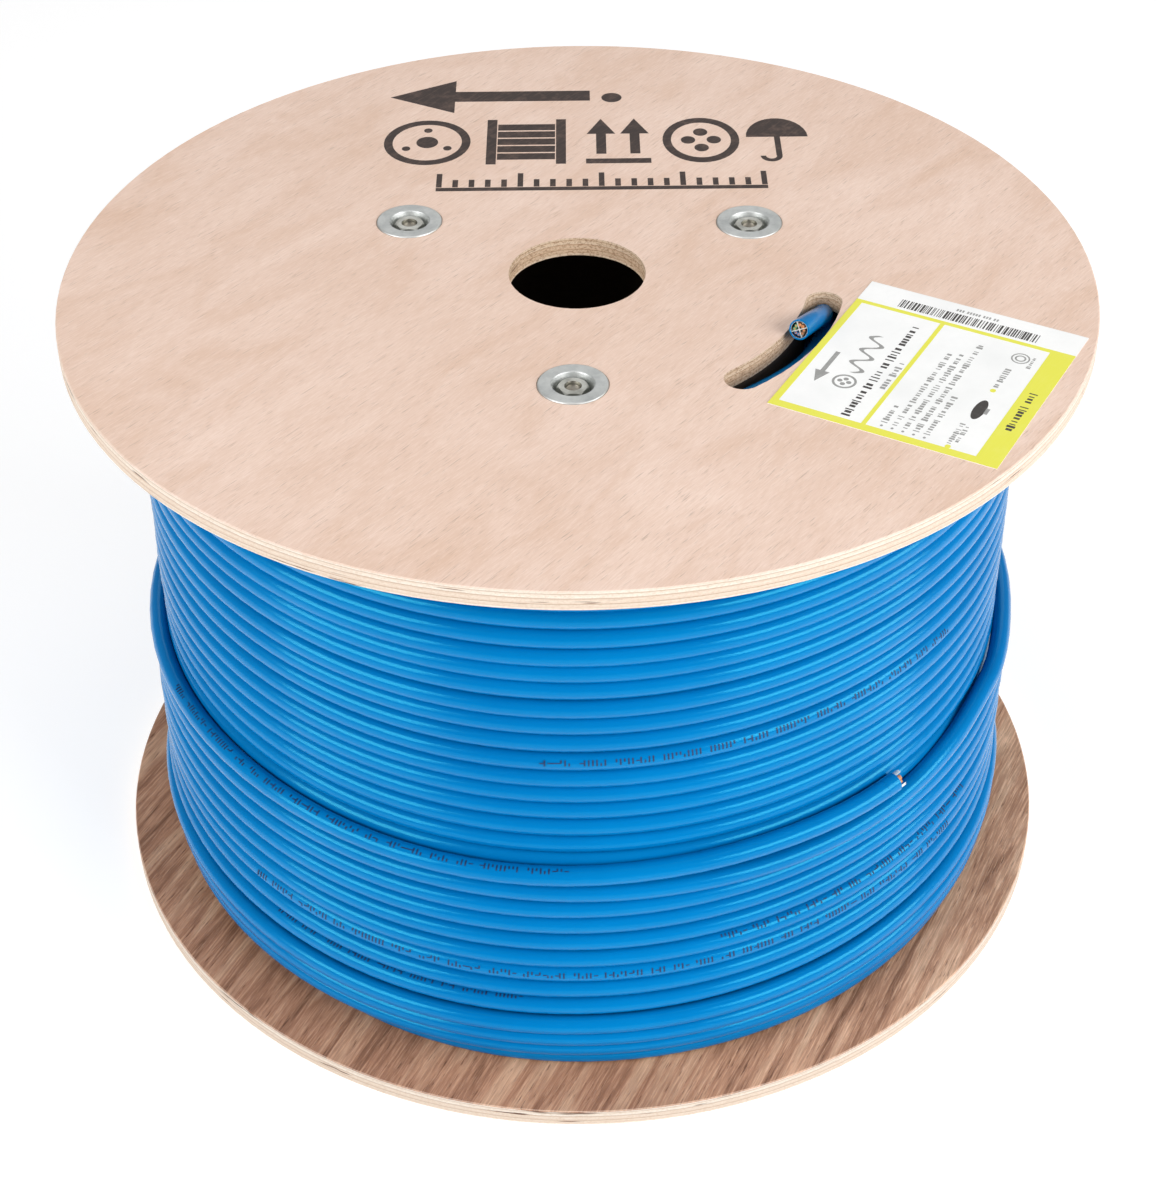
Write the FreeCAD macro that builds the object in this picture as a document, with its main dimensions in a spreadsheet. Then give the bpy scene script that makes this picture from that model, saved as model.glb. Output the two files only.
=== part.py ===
"""A plywood cable reel standing on end, wound with one length of shielded data cable.

Frame: millimetres, +Z up along the reel's axis, origin at the centre of the lower flange's outer
face. +X and +Y are level, and the cable slot in the upper flange lies between +X and -Y.
"""

import FreeCAD
import Part

import math
import os

import Sketcher

V = FreeCAD.Vector
UP = V(0, 0, 1)

DIMENSIONS = {
    # Plywood flanges and what is cut in them
    "flange_radius": 190.5,
    "flange_thickness": 7.5,
    "flange_edge_chamfer": 0.4,
    "traverse": 236.5,
    "arbor_hole_radius": 25.4,
    "slot_middle_radius": 92.15,
    "slot_width": 13.3,
    "slot_first_angle": -51.8,
    "slot_last_angle": -13.8,
    # Cardboard core between the flanges
    "core_outer_radius": 85.0,
    "core_wall": 5.0,
    # Three tie rods, with a nut and a dished washer at each end
    "rod_count": 3,
    "rod_pitch_radius": 75.0,
    "rod_start_angle": 28.6,
    "rod_radius": 3.0,
    "rod_end_chamfer": 0.5,
    "rod_end_depth": 1.6,
    "rod_play": 0.05,
    "nut_across_flats": 10.0,
    "nut_height": 5.0,
    "nut_chamfer_height": 0.7,
    "washer_radius": 12.5,
    "washer_sheet": 1.2,
    "washer_mouth_radius": 7.6,
    "washer_floor_radius": 6.1,
    "washer_depth": 6.0,
    "washer_hole_radius": 3.2,
    "washer_play": 0.2,
    "washer_stands_proud": 0.5,
    # Adhesive label beside the slot
    "label_width": 83.0,
    "label_length": 90.5,
    "label_thickness": 0.2,
    "label_centre_x": 122.6,
    "label_centre_y": -68.3,
    "label_turn": -29.0,
    # Cable and its winding
    "cable_radius": 3.75,
    "winding_play": 0.2,
    "winding_edge_radius": 3.0,
    "full_layers_radius": 165.8,
    "last_layer_radius": 171.6,
    "last_layer_top": 103.2,
    "relief_radius": 98.0,
    "relief_depth": 15.0,
    "tail_play": 0.1,
    "tail_end_angle": -48.0,
    "tail_step_angle": 20.0,
    # What fills the jacket at each cut end of the cable
    "jacket_bore_radius": 3.15,
    "end_depth": 6.0,
    "end_play": 0.02,
    "foil_thickness": 0.1,
    "filler_thickness": 0.26,
    "filler_half_span": 2.9,
    "conductor_radius": 0.58,
    "copper_radius": 0.285,
    "conductor_circle_radius": 1.75,
    "conductor_half_angle": 20.5,
    "drain_radius": 0.2,
    "drain_circle_radius": 2.75,
}

# Heights of the last turn's centreline: at the cut end, at each step round the reel, and where it
# leaves the layer below
TAIL_HEIGHTS = [
    110.9, 110.9, 109.6, 107.5, 109.4, 112.9, 113.5, 113.4, 113.6, 113.5,
    113.6, 113.4, 113.5, 113.6, 113.4, 113.5, 113.6, 113.4, 112.6,
]

# Route of the inner end: under the upper flange, then up through the slot to its cut face
INNER_END_ROUTE = [
    V(78.0, 45.0, 236.0),
    V(87.2, 25.5, 236.3),
    V(91.4, 3.0, 236.2),
    V(90.4, -18.0, 243.0),
    V(84.8, -33.0, 250.6),
    V(78.4, -46.0, 254.6),
]

PAIR_COLOURS = ("orange", "green", "blue", "brown")

doc = FreeCAD.newDocument("CableReel")
sheet = doc.addObject("Spreadsheet::Sheet", "Dimensions")
sub_parts = []


# ---- the sheet and the small tools that every sub-part uses ----


def fill_sheet():
    """Writes each driving dimension as a name and a plain number, with the name as its alias."""
    for row, (name, value) in enumerate(DIMENSIONS.items(), start=1):
        sheet.set(f"A{row}", name)
        sheet.set(f"B{row}", str(value))
        sheet.setAlias(f"B{row}", name)
    doc.recompute()


def size(name):
    """A driving dimension's number, read from the sheet."""
    return float(sheet.get(name))


def formula(text):
    """A formula in the sheet's terms, from one that writes each dimension's name in braces."""
    return text.replace("{", "Dimensions.").replace("}", "")


def number(text):
    """What a formula comes to now."""
    return float(sheet.evalExpression(formula(text).replace("Dimensions.", "")))


def bind(obj, **formulas):
    """Binds an object's properties to formulas."""
    for name, text in formulas.items():
        obj.setExpression(name, formula(text))


def place(obj, x="0", y="0", z="0"):
    """Binds an object's position to formulas."""
    for axis, text in (("x", x), ("y", y), ("z", z)):
        obj.setExpression(f"Placement.Base.{axis}", formula(text))


def sub_part(kind, label):
    """A new object of the document that is one sub-part."""
    obj = doc.addObject(kind, label)
    obj.Label = label
    sub_parts.append(obj)
    return obj


def new_sketch(body, name, plane="XY_Plane", height="0"):
    """A sketch on one of the body's own origin planes, raised by a formula."""
    sketch = body.newObject("Sketcher::SketchObject", f"{body.Name}_{name}")
    support = [f for f in body.Origin.OriginFeatures if f.Role == plane][0]
    sketch.AttachmentSupport = [(support, "")]
    sketch.MapMode = "FlatFace"
    sketch.setExpression("AttachmentOffset.Base.z", formula(height))
    return sketch


def dimension(sketch, kind, text, *where):
    """Adds one dimension to a sketch and binds it to a formula."""
    index = sketch.addConstraint(Sketcher.Constraint(kind, *where, number(text)))
    sketch.setExpression(f"Constraints[{index}]", f"1 mm * ({formula(text)})")


def locate(sketch, geometry, point, x, y):
    """Fixes a point of a sketch's geometry by its distances from the sketch's origin."""
    dimension(sketch, "DistanceX", x, -1, 1, geometry, point)
    dimension(sketch, "DistanceY", y, -1, 1, geometry, point)


def add_circle(sketch, radius, x="0", y="0"):
    """Adds a circle whose radius and centre are formulas."""
    circle = Part.Circle(V(number(x), number(y), 0), UP, number(radius))
    index = sketch.addGeometry(circle)
    dimension(sketch, "Radius", radius, index)
    locate(sketch, index, 3, x, y)


def add_outline(sketch, corners):
    """Adds a closed outline of straight lines through corners given as pairs of formulas."""
    points = [V(number(x), number(y), 0) for x, y in corners]
    lines = []
    for start, end in zip(points, points[1:] + points[:1]):
        lines.append(sketch.addGeometry(Part.LineSegment(start, end)))
    for line, (x, y) in zip(lines, corners):
        locate(sketch, line, 1, x, y)
    for line, following in zip(lines, lines[1:] + lines[:1]):
        sketch.addConstraint(Sketcher.Constraint("Coincident", line, 2, following, 1))


def polar(radius, angle):
    """The x and y formulas of a point at a radius and an angle in degrees, themselves formulas."""
    return f"{radius} * cos(({angle}) * 1 deg)", f"{radius} * sin(({angle}) * 1 deg)"


def pad(body, sketch, length):
    """Raises a sketch into a solid."""
    feature = body.newObject("PartDesign::Pad", f"{sketch.Name}_pad")
    feature.Profile = sketch
    bind(feature, Length=length)
    doc.recompute()
    return feature


def revolve(body, sketch):
    """Turns a sketch on the XZ plane round the body's Z axis."""
    feature = body.newObject("PartDesign::Revolution", f"{sketch.Name}_revolution")
    feature.Profile = sketch
    feature.ReferenceAxis = (sketch, ["V_Axis"])
    feature.Angle = 360
    doc.recompute()
    return feature


def removed(body, feature, before):
    """Recomputes, and stops the script if a cutting feature took nothing away."""
    doc.recompute()
    if body.Shape.Volume > before - 1e-3:
        raise RuntimeError(f"{feature.Name} cuts nothing")
    return feature


def pocket(body, sketch, depth=None, upwards=False):
    """Cuts a sketch's outline out of a body: through everything, or to a depth."""
    before = body.Shape.Volume
    feature = body.newObject("PartDesign::Pocket", f"{sketch.Name}_pocket")
    feature.Profile = sketch
    feature.Reversed = upwards
    if depth is None:
        feature.Type = "ThroughAll"
    else:
        bind(feature, Length=depth)
    return removed(body, feature, before)


def groove(body, sketch):
    """Cuts a sketch on the XZ plane, turned round the body's Z axis, out of a body."""
    before = body.Shape.Volume
    feature = body.newObject("PartDesign::Groove", f"{sketch.Name}_groove")
    feature.Profile = sketch
    feature.ReferenceAxis = (sketch, ["V_Axis"])
    feature.Angle = 360
    return removed(body, feature, before)


def repeat_round_axis(body, features):
    """Repeats cutting features once for each tie rod, round the body's Z axis."""
    before = body.Shape.Volume
    pattern = body.newObject("PartDesign::PolarPattern", f"{body.Name}_at_each_rod")
    pattern.Originals = features
    pattern.Axis = (features[0].Profile[0], ["N_Axis"])
    pattern.Angle = 360
    bind(pattern, Occurrences="{rod_count}")
    body.Tip = pattern
    return removed(body, pattern, before)


def ring_edges(shape, radius, height):
    """The names of a shape's full circles of one radius at one height."""
    names = []
    for index, edge in enumerate(shape.Edges, start=1):
        curve = edge.Curve
        if not isinstance(curve, Part.Circle) or abs(curve.Radius - radius) > 1e-4:
            continue
        if abs(curve.Center.z - height) < 1e-4 and math.hypot(curve.Center.x, curve.Center.y) < 1e-4:
            names.append(f"Edge{index}")
    return names


def dress_edges(body, kind, rings, **formulas):
    """Fillets or chamfers the rings of a body, each given as a radius and a height in formulas."""
    base = body.Tip
    names = []
    for radius, height in rings:
        names += ring_edges(base.Shape, number(radius), number(height))
    if len(names) < len(rings):
        raise RuntimeError(f"{body.Name} has {len(names)} of the {len(rings)} edges to dress")
    feature = body.newObject(f"PartDesign::{kind}", f"{body.Name}_{kind.lower()}")
    feature.Base = (base, names)
    bind(feature, **formulas)
    doc.recompute()


# ---- flanges and core ----


def add_slot_outline(sketch):
    """A curved slot: two arcs about the reel's axis joined by a half-round cap at each end."""
    first, last = (math.radians(size(n)) for n in ("slot_first_angle", "slot_last_angle"))
    middle, half = size("slot_middle_radius"), size("slot_width") / 2
    inner, outer = middle - half, middle + half
    caps = [V(middle * math.cos(a), middle * math.sin(a), 0) for a in (first, last)]
    origin = V(0, 0, 0)
    arcs = [
        (origin, outer, first, last),
        (caps[1], half, last, last + math.pi),
        (origin, inner, first, last),
        (caps[0], half, first - math.pi, first),
    ]
    ids = []
    for centre, radius, start, end in arcs:
        circle = Part.Circle(centre, UP, radius)
        ids.append(sketch.addGeometry(Part.ArcOfCircle(circle, start, end)))
    outer_id, last_cap, inner_id, first_cap = ids
    joins = [
        (outer_id, 2, last_cap, 1),
        (last_cap, 2, inner_id, 2),
        (inner_id, 1, first_cap, 1),
        (first_cap, 2, outer_id, 1),
    ]
    for join in joins:
        sketch.addConstraint(Sketcher.Constraint("Tangent", *join))
    sketch.addConstraint(Sketcher.Constraint("Coincident", outer_id, 3, -1, 1))
    sketch.addConstraint(Sketcher.Constraint("Coincident", inner_id, 3, -1, 1))
    dimension(sketch, "Radius", "{slot_middle_radius} + {slot_width} / 2", outer_id)
    locate(sketch, last_cap, 3, *polar("{slot_middle_radius}", "{slot_last_angle}"))
    first_x = polar("{slot_middle_radius}", "{slot_first_angle}")[0]
    dimension(sketch, "DistanceX", first_x, -1, 1, first_cap, 3)


def make_flange(label, upper):
    """A plywood disc with the arbor hole, and at each tie rod a hole and a seat for a washer."""
    body = sub_part("PartDesign::Body", label)
    disc = new_sketch(body, "disc")
    add_circle(disc, "{flange_radius}")
    add_circle(disc, "{arbor_hole_radius}")
    pad(body, disc, "{flange_thickness}")

    at_rod = polar("{rod_pitch_radius}", "{rod_start_angle}")
    cup = new_sketch(body, "cup_hole", height="{flange_thickness}")
    add_circle(cup, "{washer_mouth_radius} + {washer_sheet} + {washer_play}", *at_rod)
    outer_face = "{flange_thickness}" if upper else "0"
    seat = new_sketch(body, "washer_seat", height=outer_face)
    add_circle(seat, "{washer_radius} + {washer_play}", *at_rod)
    seat_depth = "{washer_sheet} - {washer_stands_proud}" if upper else "{washer_sheet}"
    cuts = [pocket(body, cup), pocket(body, seat, seat_depth, upwards=not upper)]
    repeat_round_axis(body, cuts)

    if upper:
        slot = new_sketch(body, "cable_slot", height="{flange_thickness}")
        add_slot_outline(slot)
        pocket(body, slot)
    rims = [("{flange_radius}", "0"), ("{flange_radius}", "{flange_thickness}")]
    dress_edges(body, "Chamfer", rims, Size="{flange_edge_chamfer}")
    place(body, z="{flange_thickness} + {traverse}" if upper else "0")


def make_core():
    """The cardboard tube that the cable is wound on, held between the flanges."""
    body = sub_part("PartDesign::Body", "core_tube")
    ring = new_sketch(body, "ring")
    add_circle(ring, "{core_outer_radius}")
    add_circle(ring, "{core_outer_radius} - {core_wall}")
    pad(body, ring, "{traverse}")
    place(body, z="{flange_thickness}")


# ---- tie rods, nuts and washers ----

# How far the rim face of the dished washer lies from the middle of the reel's height
RIM_OFFSETS = {
    "top": "({traverse} / 2 + {flange_thickness} + {washer_stands_proud})",
    "bottom": "({traverse} / 2 + {flange_thickness})",
}


def rod_place(index):
    """The x and y formulas of one tie rod's axis."""
    return polar("{rod_pitch_radius}", f"{{rod_start_angle}} + 360 / {{rod_count}} * {index}")


def make_rod(index):
    """A tie rod with chamfered ends, from inside the bottom washer's dish to the top one's."""
    body = sub_part("PartDesign::Body", f"tie_rod_{index + 1}")
    length = "({traverse} + 2 * {flange_thickness} - 2 * {rod_end_depth})"
    section = new_sketch(body, "section")
    add_circle(section, "{rod_radius}")
    pad(body, section, length)
    rims = [("{rod_radius}", "0"), ("{rod_radius}", length)]
    dress_edges(body, "Chamfer", rims, Size="{rod_end_chamfer}")
    place(body, *rod_place(index), z="{rod_end_depth}")


def end_place(body, end, inward, index):
    """Puts a piece made with its outer side up at one end of a rod, inward of the rim's face."""
    x, y = rod_place(index)
    middle = "({traverse} / 2 + {flange_thickness})"
    if end == "top":
        place(body, x, y, f"{middle} + {RIM_OFFSETS[end]} - ({inward})")
    else:
        body.Placement.Rotation = FreeCAD.Rotation(V(1, 0, 0), 180)
        place(body, x, y, f"{middle} - {RIM_OFFSETS[end]} + ({inward})")


def make_washer(end, index):
    """A pressed washer: a flat rim, and a dish that sinks the nut below the flange's face."""
    body = sub_part("PartDesign::Body", f"{end}_washer_{index + 1}")
    profile = new_sketch(body, "profile", plane="XZ_Plane")
    outline = [
        ("{washer_hole_radius}", "-{washer_depth}"),
        ("{washer_floor_radius}", "-{washer_depth}"),
        ("{washer_mouth_radius}", "0"),
        ("{washer_radius}", "0"),
        ("{washer_radius}", "-{washer_sheet}"),
        ("{washer_mouth_radius} + {washer_sheet}", "-{washer_sheet}"),
        ("{washer_floor_radius} + {washer_sheet}", "-{washer_depth} - {washer_sheet}"),
        ("{washer_hole_radius}", "-{washer_depth} - {washer_sheet}"),
    ]
    add_outline(profile, outline)
    revolve(body, profile)
    rings = [
        ("{washer_mouth_radius}", "0"),
        ("{washer_radius}", "0"),
        ("{washer_floor_radius} + {washer_sheet}", "-{washer_depth} - {washer_sheet}"),
    ]
    dress_edges(body, "Fillet", rings, Radius="{washer_sheet} / 2")
    end_place(body, end, "0", index)


def make_nut(end, index):
    """A hexagon nut with its outer corners turned off."""
    body = sub_part("PartDesign::Body", f"{end}_nut_{index + 1}")
    corner_radius = "({nut_across_flats} / 2 / cos(30 deg))"
    hexagon = new_sketch(body, "hexagon")
    add_outline(hexagon, [polar(corner_radius, str(60 * corner)) for corner in range(6)])
    add_circle(hexagon, "{rod_radius} + {rod_play}")
    pad(body, hexagon, "{nut_height}")
    turned = new_sketch(body, "turned_corners", plane="XZ_Plane")
    outline = [
        ("{nut_across_flats} / 2", "{nut_height}"),
        (f"{corner_radius} + 1", "{nut_height}"),
        (f"{corner_radius} + 1", f"{{nut_height}} - {{nut_chamfer_height}} * 2"),
    ]
    add_outline(turned, outline)
    groove(body, turned)
    end_place(body, end, "{washer_depth}", index)


# ---- label ----


def make_label():
    """The paper label stuck to the upper flange beside the slot."""
    body = sub_part("PartDesign::Body", "product_label")
    outline = new_sketch(body, "outline")
    half_width, half_length = "{label_width} / 2", "{label_length} / 2"
    corners = [
        (f"-{half_width}", f"-{half_length}"),
        (half_width, f"-{half_length}"),
        (half_width, half_length),
        (f"-{half_width}", half_length),
    ]
    add_outline(outline, corners)
    pad(body, outline, "{label_thickness}")
    body.Placement.Rotation = FreeCAD.Rotation(UP, 1.0)
    body.setExpression("Placement.Rotation.Angle", formula("{label_turn}"))
    top_face = "{traverse} + 2 * {flange_thickness}"
    place(body, "{label_centre_x}", "{label_centre_y}", top_face)


# ---- cable ----


def make_layers(label, outline):
    """The outer shape of some of the wound layers: an outline turned round the reel's axis."""
    body = sub_part("PartDesign::Body", label)
    profile = new_sketch(body, "profile", plane="XZ_Plane")
    add_outline(profile, outline)
    revolve(body, profile)
    return body


def make_winding():
    """All the wound cable as two rings. The inner layers stop short of the upper flange, which
    leaves a relief where the inner end comes out. The last layer covers only the lower part."""
    low = "{flange_thickness} + {winding_play}"
    high = "{flange_thickness} + {traverse} - {winding_play}"
    relief_floor = f"{high} - {{relief_depth}}"
    inside = "{core_outer_radius} + {winding_play}"
    seam = "{relief_radius} - {winding_play}"
    inner_outline = [(inside, low), (seam, low), (seam, relief_floor), (inside, relief_floor)]
    make_layers("cable_inner_layers", inner_outline)
    outer_outline = [
        ("{relief_radius}", low),
        ("{last_layer_radius}", low),
        ("{last_layer_radius}", "{last_layer_top}"),
        ("{full_layers_radius}", "{last_layer_top}"),
        ("{full_layers_radius}", high),
        ("{relief_radius}", high),
    ]
    outer = make_layers("cable_outer_layers", outer_outline)
    rings = [
        ("{last_layer_radius}", low),
        ("{last_layer_radius}", "{last_layer_top}"),
        ("{full_layers_radius}", high),
    ]
    dress_edges(outer, "Fillet", rings, Radius="{winding_edge_radius}")


def rounded_route(points):
    """A wire of straight runs joined by tangent arcs, each arc as large as its runs allow."""
    edges, radii = [], []
    last_point = points[0]
    for before, corner, after in zip(points, points[1:], points[2:]):
        inward, onward = corner - before, after - corner
        reach = 0.45 * min(inward.Length, onward.Length)
        half_turn = inward.getAngle(onward) / 2
        radius = reach / math.tan(half_turn)
        arc_start = corner - inward.normalize() * reach
        arc_end = corner + onward.normalize() * reach
        to_centre = (onward - inward).normalize()
        arc_middle = corner + to_centre * (math.hypot(radius, reach) - radius)
        edges.append(Part.LineSegment(last_point, arc_start).toShape())
        edges.append(Part.Arc(arc_start, arc_middle, arc_end).toShape())
        radii.append(round(radius, 1))
        last_point = arc_end
    edges.append(Part.LineSegment(last_point, points[-1]).toShape())
    return Part.Wire(edges), radii


def make_cable_run(label, points):
    """A stretch of cable along a route that ends at a cut face, where the jacket is hollow."""
    wire, radii = rounded_route(points)
    route = doc.addObject("Part::Feature", f"{label}_route")
    route.Shape = wire
    section = doc.addObject("Part::Circle", f"{label}_section")
    bind(section, Radius="{cable_radius}")
    start_rotation = FreeCAD.Rotation(UP, points[1] - points[0])
    section.Placement = FreeCAD.Placement(points[0], start_rotation)
    tube = doc.addObject("Part::Sweep", f"{label}_tube")
    tube.Sections = [section]
    tube.Spine = (route, [f"Edge{i + 1}" for i in range(len(wire.Edges))])
    tube.Solid = True
    doc.recompute()
    expected = math.pi * size("cable_radius") ** 2 * wire.Length
    print(f"{label}: {wire.Length:.1f} mm long, bend radii {radii}")
    print(f"{label}: volume {tube.Shape.Volume:.0f}, section by length {expected:.0f}")
    if abs(tube.Shape.Volume / expected - 1) > 0.01:
        raise RuntimeError(f"{label} isn't a whole tube")

    bore = doc.addObject("Part::Cylinder", f"{label}_bore")
    bind(bore, Radius="{jacket_bore_radius}", Height="{end_depth} + {cable_radius}")
    outward = points[-1] - points[-2]
    bore_rotation = FreeCAD.Rotation(UP, outward)
    bore_start = points[-1] - outward.normalize() * size("end_depth")
    bore.Placement = FreeCAD.Placement(bore_start, bore_rotation)
    cable = sub_part("Part::Cut", label)
    cable.Base = tube
    cable.Tool = bore
    return FreeCAD.Placement(bore_start, bore_rotation)


def tail_points():
    """The last turn's route, from where it leaves the layer below to its cut end.

    The points inside the route stand out from the turn's circle, so that the runs touch it."""
    step = size("tail_step_angle")
    on_circle = size("full_layers_radius") + size("cable_radius") + size("tail_play")
    off_circle = on_circle / math.cos(math.radians(step / 2))
    angles = [0.0] + [step * (i + 0.5) for i in range(len(TAIL_HEIGHTS) - 2)]
    angles.append(angles[-1] + step / 2)
    points = []
    for index, (back, height) in enumerate(zip(angles, TAIL_HEIGHTS)):
        angle = math.radians(size("tail_end_angle") - back)
        at_end = index in (0, len(TAIL_HEIGHTS) - 1)
        radius = on_circle if at_end else off_circle
        points.append(V(radius * math.cos(angle), radius * math.sin(angle), height))
    return points[::-1]


def cylinder(name, radius, centre, placement):
    """A cylinder that runs the depth of a cut end, at a centre in the cable's own section."""
    obj = doc.addObject("Part::Cylinder", name)
    bind(obj, Radius=radius, Height="{end_depth}")
    x, y = (number(text) for text in centre)
    obj.Placement = placement.multiply(FreeCAD.Placement(V(x, y, 0), FreeCAD.Rotation()))
    return obj


def make_ring(label, outer, inner, centre, placement):
    """A tube that runs the depth of a cut end. Returns it without making it a sub-part."""
    ring = doc.addObject("Part::Cut", label)
    ring.Base = cylinder(f"{label}_outside", outer, centre, placement)
    ring.Tool = cylinder(f"{label}_inside", inner, centre, placement)
    return ring


def make_filler(end, placement):
    """The cross that keeps the four pairs apart."""
    body = sub_part("PartDesign::Body", f"{end}_end_filler")
    long, short = "{filler_half_span}", "{filler_thickness} / 2"
    quarter = [(long, short), (short, short), (short, long)]
    corners = []
    for sign_x, sign_y in ((1, 1), (-1, 1), (-1, -1), (1, -1)):
        signed = [(f"{sign_x} * {x}", f"{sign_y} * {y}") for x, y in quarter]
        corners += signed if sign_x == sign_y else signed[::-1]
    outline = new_sketch(body, "outline")
    add_outline(outline, corners)
    pad(body, outline, "{end_depth}")
    body.Placement = placement


def make_end(end, placement):
    """Everything inside the jacket at one cut end: foil, filler, drain wire and four pairs."""
    axis = ("0", "0")
    foil = make_ring(
        f"{end}_end_foil",
        "{jacket_bore_radius} - {end_play}",
        "{jacket_bore_radius} - {end_play} - {foil_thickness}",
        axis,
        placement,
    )
    sub_parts.append(foil)
    make_filler(end, placement)
    drain_centre = polar("{drain_circle_radius}", "45")
    drain = cylinder(f"{end}_end_drain_wire", "{drain_radius}", drain_centre, placement)
    sub_parts.append(drain)
    copper = sub_part("Part::Compound", f"{end}_end_copper")
    wires = []
    for quarter, colour in enumerate(PAIR_COLOURS):
        pair = sub_part("Part::Compound", f"{end}_end_pair_{colour}")
        insulation = []
        for side in (-1, 1):
            name = f"{end}_{colour}_{'a' if side < 0 else 'b'}"
            angle = f"{45 + 90 * quarter} + {side} * {{conductor_half_angle}}"
            centre = polar("{conductor_circle_radius}", angle)
            hole = "{copper_radius} + {end_play}"
            insulation.append(make_ring(name, "{conductor_radius}", hole, centre, placement))
            wires.append(cylinder(f"{name}_wire", "{copper_radius}", centre, placement))
        pair.Links = insulation
    copper.Links = wires


# ---- the whole reel ----


def check_document():
    """Stops the script if any object failed, or any sub-part has no sound solid."""
    for obj in doc.Objects:
        if any(word in state for state in obj.State for word in ("Invalid", "Error")):
            raise RuntimeError(f"{obj.Name} is {obj.State}")
    for obj in sub_parts:
        shape = obj.Shape
        if shape.isNull() or not shape.isValid() or not shape.Solids:
            raise RuntimeError(f"{obj.Label} has no sound solid")


def export_sub_parts():
    """Writes each sub-part to its own STEP file, named by its label."""
    os.makedirs("parts", exist_ok=True)
    for obj in sub_parts:
        obj.Shape.exportStep(f"parts/{obj.Label}.step")
        print(f"{obj.Label}: {obj.Shape.Volume / 1000:.2f} cm3, {len(obj.Shape.Solids)} solid")


fill_sheet()
make_flange("bottom_flange", upper=False)
make_flange("top_flange", upper=True)
make_core()
for rod in range(int(size("rod_count"))):
    make_rod(rod)
    for reel_end in ("top", "bottom"):
        make_washer(reel_end, rod)
        make_nut(reel_end, rod)
make_label()
make_winding()
make_end("outer", make_cable_run("cable_outer_tail", tail_points()))
make_end("inner", make_cable_run("cable_inner_end", INNER_END_ROUTE))
doc.recompute()
check_document()
export_sub_parts()
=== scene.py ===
"""Looks of a plywood cable reel wound with blue data cable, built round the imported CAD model.

The sizes and places of the reel's own parts are in millimetres, and turn into metres through MM.
Angles round the reel are in degrees: 0 is at the right, -90 at the front.
"""

import math
import random

import bmesh
import bpy
from mathutils import Matrix, Vector


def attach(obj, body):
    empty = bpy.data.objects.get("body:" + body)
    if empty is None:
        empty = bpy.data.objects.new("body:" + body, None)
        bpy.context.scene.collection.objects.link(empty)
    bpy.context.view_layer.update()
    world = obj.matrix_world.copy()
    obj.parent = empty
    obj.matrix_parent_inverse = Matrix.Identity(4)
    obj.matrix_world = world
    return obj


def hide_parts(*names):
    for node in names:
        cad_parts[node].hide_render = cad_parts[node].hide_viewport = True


MM = 0.001
BODY = "root"

# the reel's main sizes
SHEET = 7.5
TOP_FLANGE = 244.0
FACE_TOP = TOP_FLANGE + SHEET
CORE_RADIUS = 85.0
CABLE = 7.5

# the way the grain runs on the good faces
GRAIN_TURN = math.radians(-52)

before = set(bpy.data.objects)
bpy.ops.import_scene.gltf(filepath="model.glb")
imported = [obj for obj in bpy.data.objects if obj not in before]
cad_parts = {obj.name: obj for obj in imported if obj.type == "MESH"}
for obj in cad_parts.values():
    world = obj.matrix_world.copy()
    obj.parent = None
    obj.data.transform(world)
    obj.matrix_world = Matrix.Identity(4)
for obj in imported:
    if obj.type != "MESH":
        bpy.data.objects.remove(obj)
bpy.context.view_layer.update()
draw = random.Random(7)


# ---------------------------------------------------------------- camera and light


def add_camera():
    """The camera stands in front of the reel and looks down at it."""
    elevation = 0.6492
    distance = 970.83 * MM
    target = Vector((0, 0, FACE_TOP / 2 * MM))
    roll = -0.00998
    lens = 72.572
    shift = (-0.000717, -0.04728)
    ahead = Vector((0, math.cos(elevation), -math.sin(elevation)))
    level = Vector((1, 0, 0))
    above = level.cross(ahead)
    right = math.cos(roll) * level + math.sin(roll) * above
    up = math.cos(roll) * above - math.sin(roll) * level
    data = bpy.data.cameras.new("camera")
    data.sensor_fit = "AUTO"
    data.sensor_width = 36
    data.lens = lens
    data.shift_x, data.shift_y = shift
    data.clip_start, data.clip_end = 0.01, 200
    camera = bpy.data.objects.new("camera", data)
    bpy.context.scene.collection.objects.link(camera)
    turn = Matrix((right, up, -ahead)).transposed().to_4x4()
    camera.matrix_world = Matrix.Translation(target - ahead * distance) @ turn
    bpy.context.scene.camera = camera


def add_light(name, place, aim, size, power):
    """One soft box, facing its aim, with its place and size in metres."""
    data = bpy.data.lights.new(name, "AREA")
    data.shape = "RECTANGLE"
    data.size, data.size_y = size
    data.energy = power
    light = bpy.data.objects.new(name, data)
    bpy.context.scene.collection.objects.link(light)
    way = Vector(aim) - Vector(place)
    facing = way.to_track_quat("-Z", "Y").to_matrix().to_4x4()
    light.matrix_world = Matrix.Translation(place) @ facing


def add_studio():
    """Soft boxes left, right, overhead and behind, in a pale room."""
    winding = (0, 0, 0.12)
    top_flange = (0, 0, 0.2)
    add_light("left_box", (-1.3, -1.02, 0.95), winding, (1.1, 0.9), 22)
    add_light("right_box", (1.62, -1.0, 1.0), winding, (1.9, 0.9), 42)
    add_light("top_box", (0.0, 0.2, 1.9), top_flange, (1.7, 1.4), 7)
    add_light("back_box", (0.2, 1.9, 1.5), winding, (2.2, 1.0), 5)
    world = bpy.data.worlds.new("room")
    world.use_nodes = True
    backdrop = world.node_tree.nodes["Background"]
    backdrop.inputs["Color"].default_value = (1, 1, 1, 1)
    backdrop.inputs["Strength"].default_value = 0.24
    bpy.context.scene.world = world
    bpy.context.scene.view_settings.view_transform = "Standard"


# ---------------------------------------------------------------- material nodes


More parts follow.
